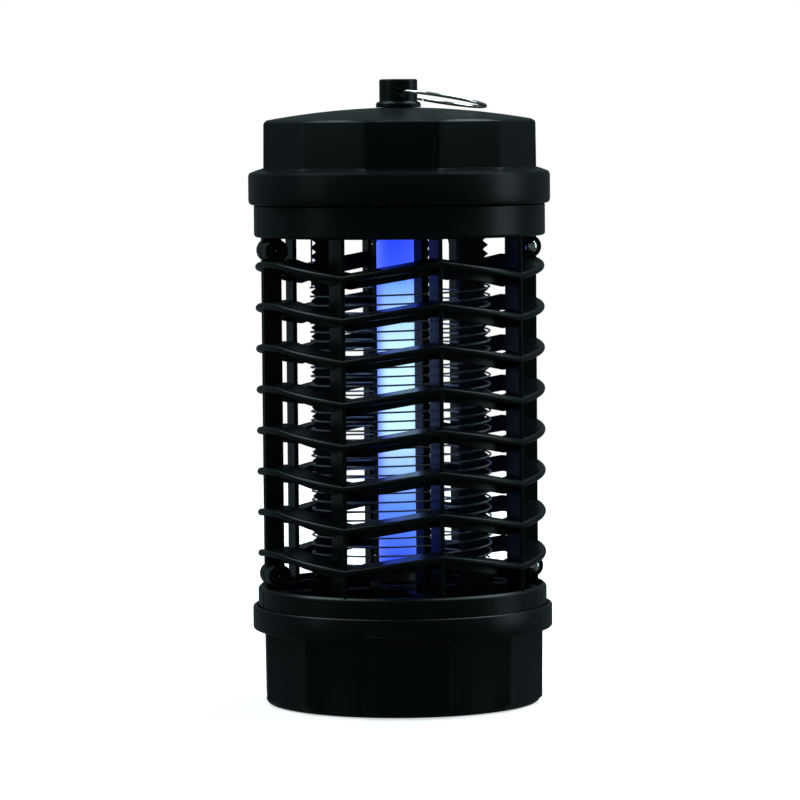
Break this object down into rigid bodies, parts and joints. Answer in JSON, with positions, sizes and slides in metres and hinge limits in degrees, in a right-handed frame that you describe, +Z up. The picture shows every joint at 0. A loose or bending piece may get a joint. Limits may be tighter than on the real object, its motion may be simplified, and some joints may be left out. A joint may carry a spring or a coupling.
{
  "type": "electric bug zapper",
  "caption": "Hanging electric insect killer: slatted cage around an ultraviolet lamp and wire grid, domed cap with a ring, and a twist-off catch tray.",
  "frame": {"origin": "centre of the catch tray's flat underside", "axes": "+Z up along the lamp, -Y the front of the cage, whose halves part in the plane Y = 0"},
  "size_m": [0.1236, 0.1236, 0.2555],
  "materials": {
    "black_plastic": "satin black moulded plastic",
    "nickel_plate": "bright nickel plate",
    "grid_steel": "drawn steel wire",
    "lamp_glass": "lit ultraviolet lamp",
    "lamp_black": "matt black",
    "board_green": "solder mask",
    "film_orange": "dipped film",
    "part_black": "moulded",
    "part_blue": "moulded"
  },
  "bodies": {
    "housing": {"ballast_transformer": "part_black", "bleed_resistor": "film_orange", "board_screw_1": "nickel_plate", "board_screw_2": "nickel_plate", "cage_front": "black_plastic", "cage_rear": "black_plastic", "cage_screw_front_lower": "nickel_plate", "cage_screw_front_upper": "nickel_plate", "cage_screw_rear_lower": "nickel_plate", "cage_screw_rear_upper": "nickel_plate", "cap_screw_1": "nickel_plate", "cap_screw_2": "nickel_plate", "cap_screw_3": "nickel_plate", "cap_screw_4": "nickel_plate", "circuit_board": "board_green", "comb_screw_front": "nickel_plate", "comb_screw_left": "nickel_plate", "comb_screw_rear": "nickel_plate", "comb_screw_right": "nickel_plate", "cord_inlet_bush": "part_black", "film_capacitor_1": "film_orange", "film_capacitor_2": "film_orange", "film_capacitor_3": "film_orange", "film_capacitor_4": "film_orange", "fuse": "grid_steel", "grid_comb_front": "black_plastic", "grid_comb_left": "black_plastic", "grid_comb_rear": "black_plastic", "grid_comb_right": "black_plastic", "hanger_nut": "nickel_plate", "hanger_stud": "black_plastic", "lamp_cap_lower": "lamp_black", "lamp_cap_upper": "lamp_black", "lamp_tube": "lamp_glass", "live_grid_wire": "grid_steel", "lower_lamp_holder": "lamp_black", "lower_spider": "black_plastic", "rectifier_diode_1": "part_black", "rectifier_diode_2": "part_black", "rectifier_diode_3": "part_black", "rectifier_diode_4": "part_black", "return_grid_wire": "grid_steel", "smoothing_capacitor": "part_blue", "terminal_block": "part_blue", "top_cap": "black_plastic", "upper_deck": "black_plastic", "upper_lamp_holder": "lamp_black"},
    "ring": {"hanging_ring": "nickel_plate"},
    "tray": {"catch_tray": "black_plastic"}
  },
  "joints": [
    {"name": "ring_swing", "type": "hinge", "parent": "housing", "child": "ring", "pos_m": [0, 0, 0.2504], "axis": [0, -1, 0], "range_deg": [0, 195]},
    {"name": "housing_lift", "type": "slide", "parent": "tray", "child": "housing", "axis": [0, 0, 1], "range_m": [0, 0.06]}
  ]
}
